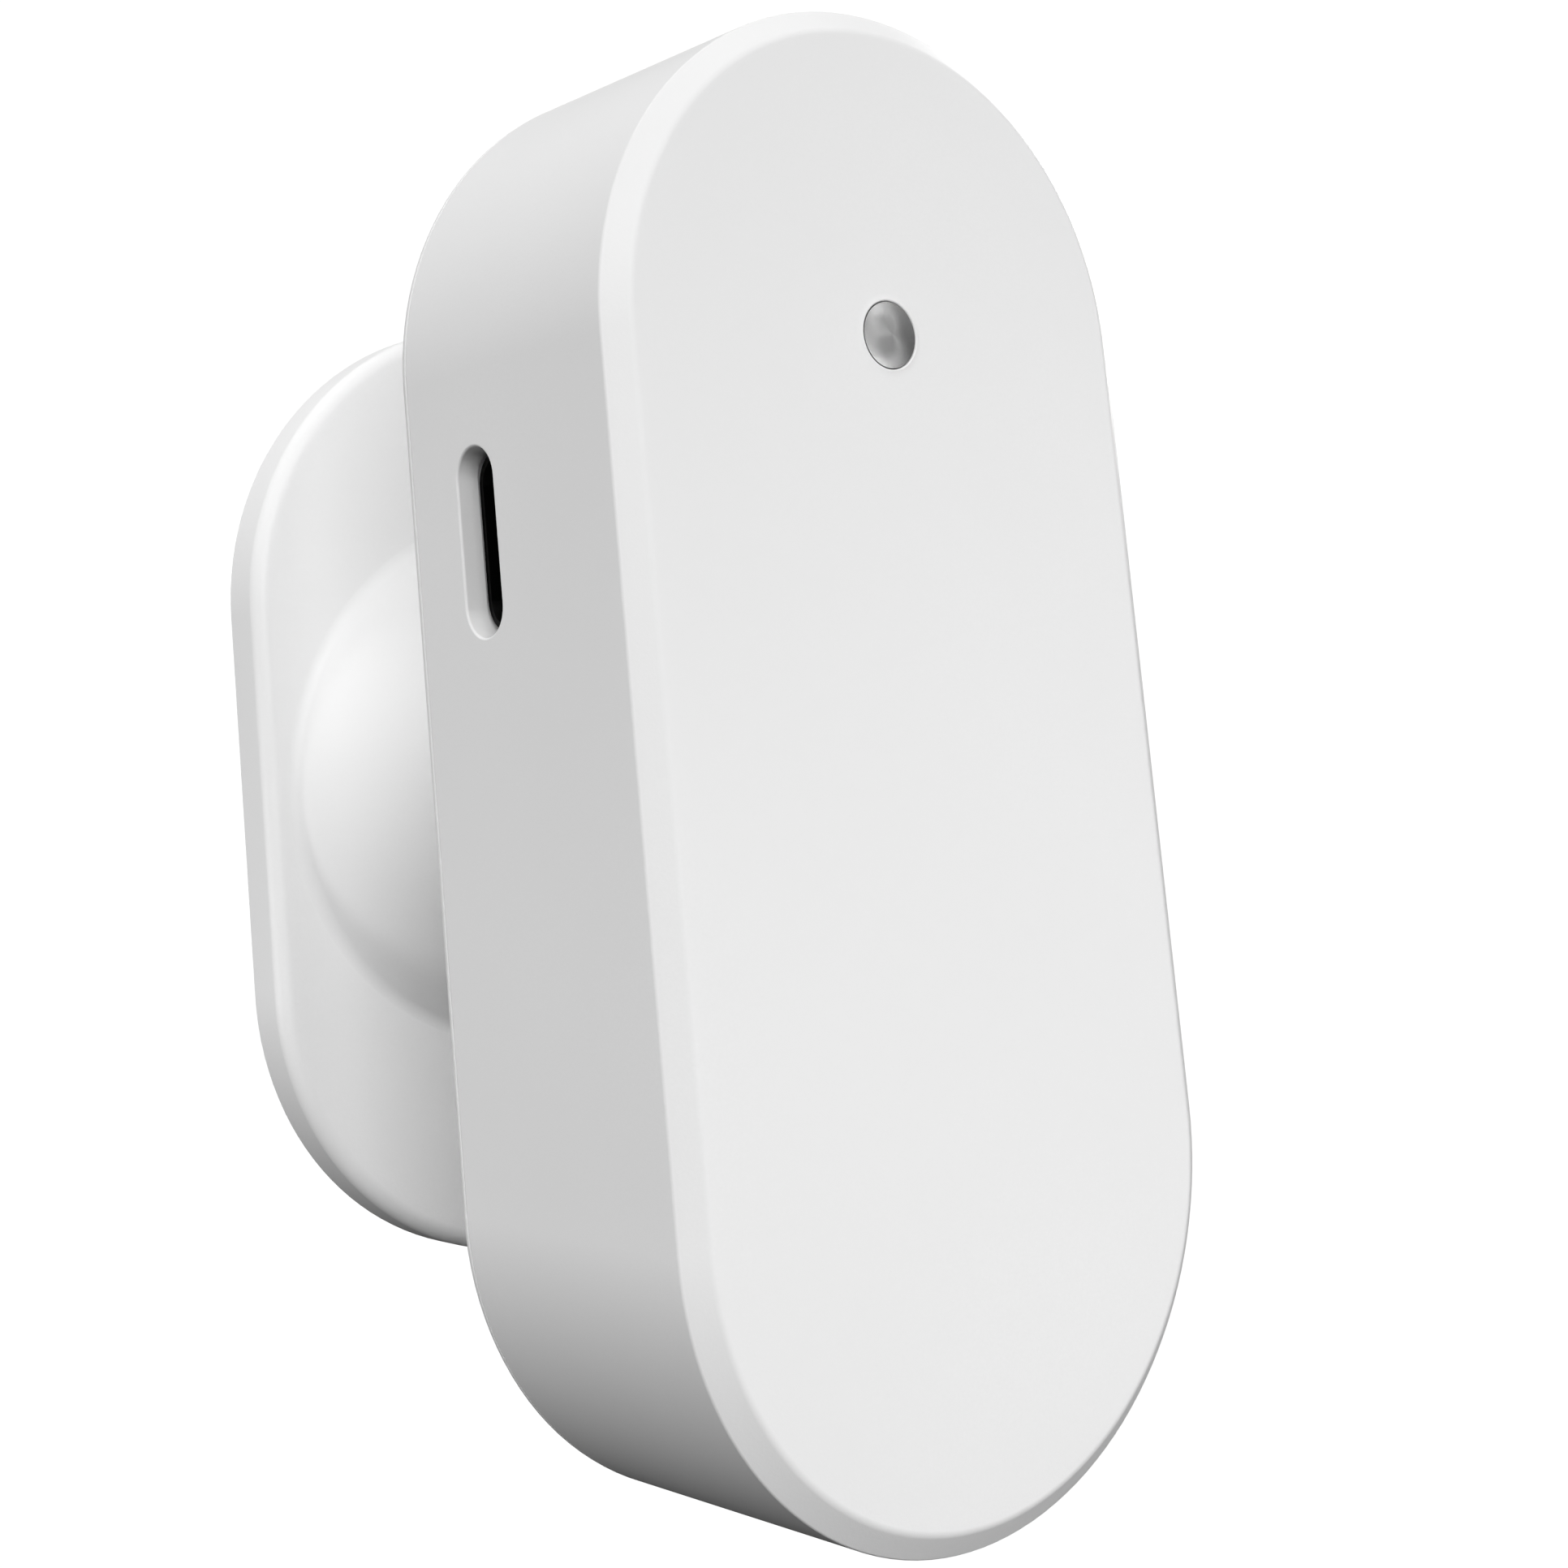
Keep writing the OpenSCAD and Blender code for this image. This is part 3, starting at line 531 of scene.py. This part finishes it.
def lens_lip():
    """A low raised lip round the indicator hole, where the moulding swells towards the lens."""
    crest = LENS_HOLE + LENS_RIM
    foot = crest + LIP_W
    return swept("lip", rounded([
        (0, anchored, 0), (foot, anchored, 0), (foot, head_front - SKIN, 0),
        (foot - LIP_TOE, head_front, 0), (crest, head_front + LIP_H, LIP_ROUND), (0, head_front + LIP_H, 0),
    ]), z=lens_z, steps=40)


def side_outline(x, width, length):
    """A pill outline in the plane of the left side wall, centred on the charging port."""
    centre = Vector((x, port_middle.y, port_middle.z))
    return outline(centre, Y, Z, width / 2, (length - width) / 2, steps=24)


def slot_cutter():
    """The charging slot, with a small rounding where it opens in the side wall."""
    rings = [side_outline(-head_r + WALL + PAST, SLOT_W, SLOT_L)]
    for wider, depth in quarter_flare(SLOT_ROUND):
        rings.append(side_outline(-head_r + depth - SKIN, SLOT_W + 2 * wider, SLOT_L + 2 * wider))
    rings.append(side_outline(-head_r - PAST, SLOT_W + 2 * SLOT_ROUND, SLOT_L + 2 * SLOT_ROUND))
    return loft("cutter", rings)


def pocket_cutter():
    """Thins the side wall round the charging port from inside."""
    inner = -head_r + SLOT_WALL
    return loft("cutter", [side_outline(x, POCKET_W, POCKET_L) for x in (inner, inner + WALL)])


def rear_cover(material):
    """Back of the head: a rim that closes the side wall, a plug inside it, and the ball's seat."""
    plug_r = inner_r - PLUG_GAP
    plug_in = plug_r - PLUG_WALL
    rim_top = head_back + RIM
    cover = swept("rear_cover", rounded([
        (plug_in - PAST, cover_inner, 0), (plug_in, cover_inner, 0.2 * MM), (plug_in, lip_top, 0.15 * MM),
        (plug_r, lip_top, 0.25 * MM), (plug_r, rim_top, 0.05 * MM), (head_r, rim_top, SEAM_ROUND),
        (head_r, head_back, COVER_ROUND), (head_r - PAST, head_back, 0),
    ]), head_span)
    join(cover, swept("seat", [(SEAT_R, cover_inner - ANCHOR), (SEAT_R, ball_height)]))
    cut(cover, seat_cutter())
    for i in range(CUP_SCREWS):
        angle = math.radians(90) + 2 * math.pi * i / CUP_SCREWS
        x, z = CUP_SCREW_CIRCLE * math.cos(angle), CUP_SCREW_CIRCLE * math.sin(angle)
        cut(cover, post(x, z, CUP_PILOT_R, head_back + CUP_PILOT_FLOOR, ball_height + PAST))
    for x, z in cover_bosses:
        cut(cover, post(x, z, COVER_BOSS_R + BOSS_GAP, cover_inner, cover_inner + BOSS_POCKET_D, steps=32))
        cut(cover, post(x, z, COVER_HOLE, head_back - PAST, cover_inner + PAST))
        cut(cover, counterbore(x, z, COVER_SINK_R, head_back + COVER_SINK_D))
    cut(cover, counterbore(0, button_z, KEY_R + SLACK, cover_inner + PAST))
    return finish_piece(cover, "casing_back", "rear_cover", "sensor_head", material)


def seat_cutter():
    """The space of the liner in the cover, up to the ball's middle, with an opening in the back face."""
    overlap = 0.03
    seat_r = BALL_R + SLACK + LINER_T + SLACK
    open_angle = math.acos((ball_height - head_back) / seat_r)
    mouth_r = seat_r * math.sin(open_angle) + MOUTH_GAP
    first = open_angle - overlap
    path = [(0, head_back - PAST), (mouth_r, head_back - PAST), (mouth_r, head_back)]
    for step in range(SEAT_STEPS + 1):
        angle = first + (math.pi / 2 - first) * step / SEAT_STEPS
        path.append((seat_r * math.sin(angle), ball_height - seat_r * math.cos(angle)))
    path += [(seat_r, ball_height + PAST), (0, ball_height + PAST)]
    return swept("cutter", path)


def counterbore(x, z, radius, top):
    """Cutter for a round recess in the head's back face, with a rounded mouth."""
    mouth = [(radius + wider, head_back + depth - SKIN) for wider, depth in quarter_flare(SINK_ROUND)]
    path = [(radius + SINK_ROUND, head_back - PAST)] + mouth[::-1] + [(radius, top)]
    return swept("cutter", path, x=x, z=z, steps=40)


def mount_foot(material):
    """Wall plate with its hollow cone, screw holes and the recess for the pad."""
    recess_r = foot_r - PAD_INSET
    flat_r = foot_r - 1.5 * MM
    foot = swept("mount_foot", rounded([
        (recess_r - PAST, pad_front, 0), (recess_r, pad_front, BREAK), (recess_r, foot_back, BREAK),
        (foot_r, foot_back, PLATE_BACK_ROUND), (foot_r, foot_front, PLATE_ROUND),
        (flat_r, foot_front, 0),
    ]), foot_span)
    join(foot, swept("cone", cone_path(), steps=96))
    hollow_r = CONE_R - CONE_WALL
    roof_r = CONE_TOP_R + ROOF_T - CONE_WALL
    hollow = rounded([
        (0, foot_back - PAST, 0), (hollow_r, foot_back - PAST, 0), (hollow_r, foot_front, 1.0 * MM),
        (roof_r, roof, 0.3 * MM), (0, roof, 0),
    ])
    cut(foot, swept("cutter", hollow))
    cut(foot, post(0, 0, SPINDLE_R + SLACK, foot_front, cone_top + PAST, steps=32))
    sink_low = foot_front - (SINK_R - SCREW_HOLE)
    sink_mouth = SINK_R + 0.1 * MM
    for side in (-1, 1):
        cut(foot, swept("cutter", rounded([
            (SCREW_HOLE, foot_back - PAST, 0), (SCREW_HOLE, sink_low, 0.3 * MM),
            (SINK_R, foot_front, 0), (sink_mouth, foot_front + PAST, 0),
        ]), z=side * SCREW_Z, steps=32))
    return finish_piece(foot, "wall_foot", "mount_foot", "wall_mount", material)


def cone_path():
    """The cone from inside the plate to its flat top, with a fillet where it leaves the plate."""
    reach = CONE_R + CONE_FILLET * math.tan(CONE_SLOPE / 2)
    sunk = foot_front - 2 * SKIN
    path = [(0, foot_front - PAST), (reach, foot_front - PAST)]
    for step in range(FILLET_STEPS * 2 + 1):
        angle = CONE_SLOPE * step / (FILLET_STEPS * 2)
        path.append((reach - CONE_FILLET * math.sin(angle), sunk + CONE_FILLET * (1 - math.cos(angle))))
    crown = rounded([
        (CONE_TOP_R + PAST, cone_top - PAST, 0), (CONE_TOP_R, cone_top, 0.3 * MM), (0, cone_top, 0),
    ])
    return path + [tuple(p) for p in crown[1:]]


def ball_stud(material):
    """Spindle, collar, neck and ball turned as one."""
    collar_low = cone_top + SLACK
    collar_high = collar_low + COLLAR_T
    pilot_end = spindle_end + STUD_PILOT_L
    path = rounded([
        (0, pilot_end, 0), (STUD_PILOT_R, pilot_end, 0), (STUD_PILOT_R, spindle_end, BREAK),
        (SPINDLE_R, spindle_end, 0.25 * MM), (SPINDLE_R, collar_low, 0.15 * MM),
        (COLLAR_R, collar_low, 0.2 * MM), (COLLAR_R, collar_high, 0.3 * MM),
        (NECK_R, collar_high + COLLAR_R - NECK_R, 0.6 * MM), (NECK_R, ball_height - NECK_END, 0),
    ])
    start = math.asin(NECK_R / BALL_R)
    for step in range(BALL_STEPS + 1):
        angle = start + (math.pi - start) * step / BALL_STEPS
        path.append(Vector((max(0, BALL_R * math.sin(angle)), ball_height - BALL_R * math.cos(angle))))
    return finish_piece(swept("stud", path), "ball_and_neck", "ball_stud", "swivel_stud", material)


def indicator_lens(material):
    """Light pipe: a rod with a stop flange and a domed front end."""
    rod_r = LENS_HOLE - SLACK
    flange_r = LENS_HOLE + FLANGE_W
    flange_back = sleeve_end - FLANGE_T
    rise = lens_tip - head_front - DOME_EDGE
    dome_r = (rod_r ** 2 + rise ** 2) / (2 * rise)
    path = rounded([
        (0, lens_back, 0), (rod_r, lens_back, BREAK), (rod_r, flange_back, BREAK),
        (flange_r, flange_back, BREAK), (flange_r, sleeve_end, BREAK), (rod_r, sleeve_end, 0.05 * MM),
        (rod_r, lens_tip - DOME_L, 0),
    ])
    edge = math.asin(rod_r / dome_r)
    for step in range(DOME_STEPS + 1):
        angle = edge * (1 - step / DOME_STEPS)
        path.append(Vector((dome_r * math.sin(angle), lens_tip - dome_r * (1 - math.cos(angle)))))
    lens = swept("lens", path, z=lens_z, steps=40)
    return finish_piece(lens, "light_pipe", "indicator_lens", "sensor_head", material)


def pairing_button(material):
    """Flush cap with a shallow dish, a stop flange and a stem."""
    flange_low = cover_inner + SLACK
    flange_high = flange_low + 0.7 * MM
    flange_r, stem_r = 3.7 * MM, 1.4 * MM
    path = rounded([
        (0, button_back + 0.12 * MM, 0), (1.6 * MM, button_back + 0.04 * MM, 0.8 * MM),
        (2.2 * MM, button_back, 0.3 * MM), (KEY_R, button_back, 0.2 * MM), (KEY_R, flange_low, 0.05 * MM),
        (flange_r, flange_low, BREAK), (flange_r, flange_high, 0.15 * MM), (stem_r, flange_high, 0.3 * MM),
        (stem_r, stem_top, 0.2 * MM), (0, stem_top, 0),
    ])
    button = swept("button", path, z=button_z, steps=32)
    return finish_piece(button, "pairing_key", "pairing_button", "button", material)


# ---------- CAD nodes that keep their meshes ----------

def soften(obj, width):
    """A small bevel on the hard edges of a CAD mesh."""
    weld = obj.modifiers.new("weld", "WELD")
    weld.merge_threshold = 1e-6
    bevel = obj.modifiers.new("soft_edges", "BEVEL")
    bevel.width = width
    bevel.segments = 2
    bevel.limit_method = "ANGLE"
    bevel.angle_limit = BEVEL_ANGLE
    bevel.harden_normals = True


def paint(node, material, edge=0.0):
    """Gives a CAD node its material, and a small bevel where edge isn't zero."""
    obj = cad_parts[node]
    obj.data.materials.clear()
    obj.data.materials.append(material)
    if edge:
        soften(obj, edge)


# ---------- stage ----------

def camera_driver(camera, channel, value, home):
    """Keeps the lens shift for the photographer's own standpoint; other standpoints look straight on."""
    curve = camera.data.driver_add(channel)
    curve.driver.type = "SCRIPTED"
    variable = curve.driver.variables.new()
    variable.name = "x"
    variable.type = "TRANSFORMS"
    variable.targets[0].id = camera
    variable.targets[0].transform_type = "LOC_X"
    variable.targets[0].transform_space = "WORLD_SPACE"
    curve.driver.expression = f"{value} if abs(x - {home:.6f}) < 0.0001 else 0.0"


def add_camera():
    """The photographer's standpoint: in front and to the left, looking a little upwards."""
    yaw, pitch, roll = math.radians(42.73), math.radians(6.985), math.radians(-5.69)
    aim = Vector((1.175 * MM, -(head_front - BEVEL_D), 17.86 * MM))
    distance = 117.4 * MM
    ahead = Vector((math.sin(yaw) * math.cos(pitch), math.cos(yaw) * math.cos(pitch), math.sin(pitch)))
    level = Vector((math.cos(yaw), -math.sin(yaw), 0))
    above = level.cross(ahead)
    right = level * math.cos(roll) + above * math.sin(roll)
    up = above * math.cos(roll) - level * math.sin(roll)
    camera = bpy.data.objects.new("camera", bpy.data.cameras.new("camera"))
    bpy.context.scene.collection.objects.link(camera)
    turn = Matrix((right, up, -ahead)).transposed().to_4x4()
    camera.matrix_world = Matrix.Translation(aim - ahead * distance) @ turn
    camera.data.sensor_width = 36
    camera.data.lens = 53.0
    camera.data.clip_start = 0.005
    bpy.context.scene.camera = camera
    for channel, value in (("shift_x", -0.0738), ("shift_y", -0.25)):
        camera_driver(camera, channel, value, camera.location.x)


def add_world():
    """A white backdrop for the camera; other rays meet a soft dome that is bright above and dark below."""
    zenith, backdrop_light = 0.74, 1.05
    world = bpy.data.worlds.new("studio")
    bpy.context.scene.world = world
    world.use_nodes = True
    nodes, links = world.node_tree.nodes, world.node_tree.links
    place = nodes.new("ShaderNodeTexCoord")
    dome = nodes.new("ShaderNodeVectorMath")
    dome.operation = "DOT_PRODUCT"
    dome.inputs[1].default_value = Z * zenith
    links.new(place.outputs["Generated"], dome.inputs[0])
    level = nodes.new("ShaderNodeMath")
    level.operation = "MAXIMUM"
    level.inputs[1].default_value = 0.0
    links.new(dome.outputs["Value"], level.inputs[0])
    light = nodes["Background"]
    light.inputs["Color"].default_value = grey(1)
    links.new(level.outputs[0], light.inputs["Strength"])
    backdrop = nodes.new("ShaderNodeBackground")
    backdrop.inputs["Color"].default_value = grey(1)
    backdrop.inputs["Strength"].default_value = backdrop_light
    path = nodes.new("ShaderNodeLightPath")
    mix = nodes.new("ShaderNodeMixShader")
    links.new(path.outputs["Is Camera Ray"], mix.inputs[0])
    links.new(light.outputs[0], mix.inputs[1])
    links.new(backdrop.outputs[0], mix.inputs[2])
    links.new(mix.outputs[0], nodes["World Output"].inputs["Surface"])


def add_floor():
    """A pale floor well below the wall-mounted sensor: it lights nothing and is clear from below."""
    radius, drop, glow = 6.0, 0.06, 0.97
    bm = bmesh.new()
    bmesh.ops.create_circle(bm, cap_ends=True, radius=radius, segments=96)
    bmesh.ops.translate(bm, vec=(0, 0, cad_low.z - drop), verts=bm.verts)
    floor = add_object("floor", bm)
    n = Nodes("pale_floor")
    path = n.add("ShaderNodeLightPath")
    seen = path.outputs["Is Camera Ray"]
    n.set(Base_Color=n.mix(seen, grey(0.0), grey(0.2)), Roughness=1.0, Specular_IOR_Level=0.0)
    n.set(Emission_Color=grey(1), Emission_Strength=n.math("MULTIPLY", seen, glow))
    n.set(Alpha=n.math("SUBTRACT", 1.0, n.add("ShaderNodeNewGeometry").outputs["Backfacing"]))
    floor.data.materials.append(n.material)


def add_softbox(name, place, size, power, receivers=()):
    """A square soft light, itself unseen, that faces the object; receivers limits what it lights."""
    middle = Vector((0, -0.03, 0))
    data = bpy.data.lights.new(name, "AREA")
    data.shape = "SQUARE"
    data.size = size
    data.energy = power
    lamp = bpy.data.objects.new(name, data)
    bpy.context.scene.collection.objects.link(lamp)
    lamp.location = place
    lamp.rotation_euler = (middle - Vector(place)).to_track_quat("-Z", "Y").to_euler()
    lamp.visible_camera = False
    if receivers:
        lit = bpy.data.collections.new(name + "_receivers")
        for piece in receivers:
            lit.objects.link(piece)
        lamp.light_linking.receiver_collection = lit


def add_lights(gap_pieces):
    """Far lights from all round and above, one for the gap only, and near ones for the front and left."""
    add_softbox("key", (-0.42, -0.80, 0.42), 0.5, 3.9)
    add_softbox("low_key", (-0.42, -0.80, 0.12), 0.4, 1.0)
    add_softbox("left", (-0.80, -0.15, 0.55), 0.5, 1.6)
    add_softbox("top_rear", (-0.20, 0.35, 0.90), 0.5, 1.4)
    add_softbox("right_rear", (0.82, 0.42, 0.35), 0.5, 4.5)
    add_softbox("gap", (0.82, 0.42, 0.35), 0.5, 6.5, gap_pieces)
    add_softbox("front_wide", (0.11, -0.28, 0.0), 0.25, 0.08)
    add_softbox("front_fill", (0.04, -0.16, -0.03), 0.08, 0.056)
    add_softbox("glint", (0.29, -0.45, 0.25), 0.10, 0.08)
    add_softbox("left_fill", (-0.14, 0.03, -0.02), 0.02, 0.041)


# ---------- build ----------

white = moulded("white_casing", grey(0.86))
# Painted light: the foot's white is a lighter copy of the casing's white, raised to brighten the plate where
# the lamps leave it too dark.
white_foot = moulded("white_foot", grey(0.92))
front_shell(white)
casing_back = rear_cover(moulded("white_back", grey(0.84)))
wall_foot = mount_foot(white_foot)
ball_stud(moulded("stud_acetal", grey(0.80), roughness=0.3, depth=0.001 * MM))
indicator_lens(smoky_lens("smoky_lens"))
pairing_button(moulded("key_plastic", grey(0.72), roughness=0.4))

steel = metal("zinc_steel", rgb(0.62, 0.62, 0.63), 0.3)
tin = metal("tinned_sheet", rgb(0.75, 0.75, 0.74), 0.28, streak="x")
black_resin = moulded("black_resin", grey(0.03), roughness=0.5, grain=0.08 * MM)
liner_acetal = moulded("liner_acetal", grey(0.18), roughness=0.35, depth=0.001 * MM)
pad_foam = foam("pad_foam", grey(0.75), rgb(0.86, 0.84, 0.78), "adhesive_pad")
cell_foam = foam("cell_foam", grey(0.06), grey(0.12), "battery_pad")

paint("adhesive_pad", pad_foam, edge=0.05 * MM)
paint("stud_screw", steel)
paint("stud_washer", steel, edge=0.08 * MM)
paint("socket_liner", liner_acetal, edge=0.05 * MM)
paint("cover_screws", steel)
paint("socket_cup", moulded("cup_plastic", grey(0.8), roughness=0.4), edge=0.08 * MM)
paint("socket_screws", steel)
paint("friction_ring", rubber("ring_rubber", grey(0.02)))
paint("status_led", moulded("led_phosphor", rgb(0.85, 0.78, 0.5), roughness=0.25))
paint("main_board", laminate("green_board", rgb(0.01, 0.13, 0.05), rgb(0.04, 0.26, 0.1)))
paint("board_screws", steel)
paint("usb_shell", metal("black_steel", grey(0.012), 0.45), edge=0.03 * MM)
paint("usb_tongue", moulded("black_tongue", grey(0.012), roughness=0.5, grain=0.08 * MM))
paint("usb_contacts", metal("gold_contacts", rgb(0.9, 0.62, 0.25), 0.2, streak="x"))
paint("radio_module", laminate("blue_board", rgb(0.01, 0.03, 0.14), rgb(0.03, 0.08, 0.28)))
paint("radio_shield", tin, edge=0.12 * MM)
paint("antenna_trace", metal("antenna_gold", rgb(0.85, 0.55, 0.28), 0.25))
paint("reed_glass", clear_glass("reed_glass_clear"))
paint("reed_blades", metal("reed_alloy", rgb(0.62, 0.6, 0.56), 0.25, streak="z"))
paint("battery_cell", pouch_foil("pouch_foil"), edge=0.2 * MM)
paint("battery_pad", cell_foam, edge=0.05 * MM)
paint("battery_lead", wire_cover("wire_cover"))
paint("battery_connector", moulded("natural_nylon", rgb(0.78, 0.74, 0.62), roughness=0.35), edge=0.1 * MM)
paint("board_chips", black_resin, edge=0.06 * MM)
paint("board_passives", ceramic("chip_parts"), edge=0.04 * MM)
paint("tact_switch", moulded("switch_case", grey(0.05), roughness=0.4), edge=0.06 * MM)
paint("switch_plunger", moulded("plunger_black", grey(0.02), roughness=0.35), edge=0.06 * MM)

add_world()
add_lights([casing_back, wall_foot])
add_floor()
add_camera()
bpy.context.scene.view_settings.view_transform = "Standard"
